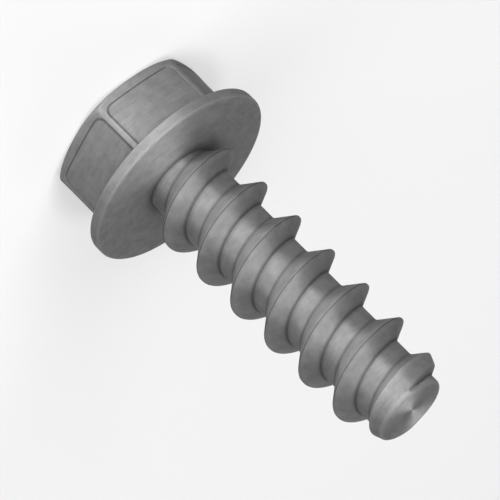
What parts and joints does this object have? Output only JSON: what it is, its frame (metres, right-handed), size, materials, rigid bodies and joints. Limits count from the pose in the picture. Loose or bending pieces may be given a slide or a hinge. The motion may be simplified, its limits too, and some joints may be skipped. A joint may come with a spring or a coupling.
{
  "type": "hex washer head thread-forming screw",
  "caption": "Thread-forming screw: rounded hex head on a plain round washer flange, with a coarse, sharp helical thread from the flange to a blunt tapered point.",
  "frame": {"origin": "centre of the head's top, on which the screw stands", "axes": "+Z along the shank from the head to the point; two opposite corners of the hex on the X axis, two opposite flats square to the Y axis"},
  "size_m": [0.0078, 0.0078, 0.0158],
  "materials": {
    "dark_steel": "dark grey satin, as formed and then blackened"
  },
  "bodies": {
    "root": {"screw": "dark_steel"}
  },
  "joints": []
}
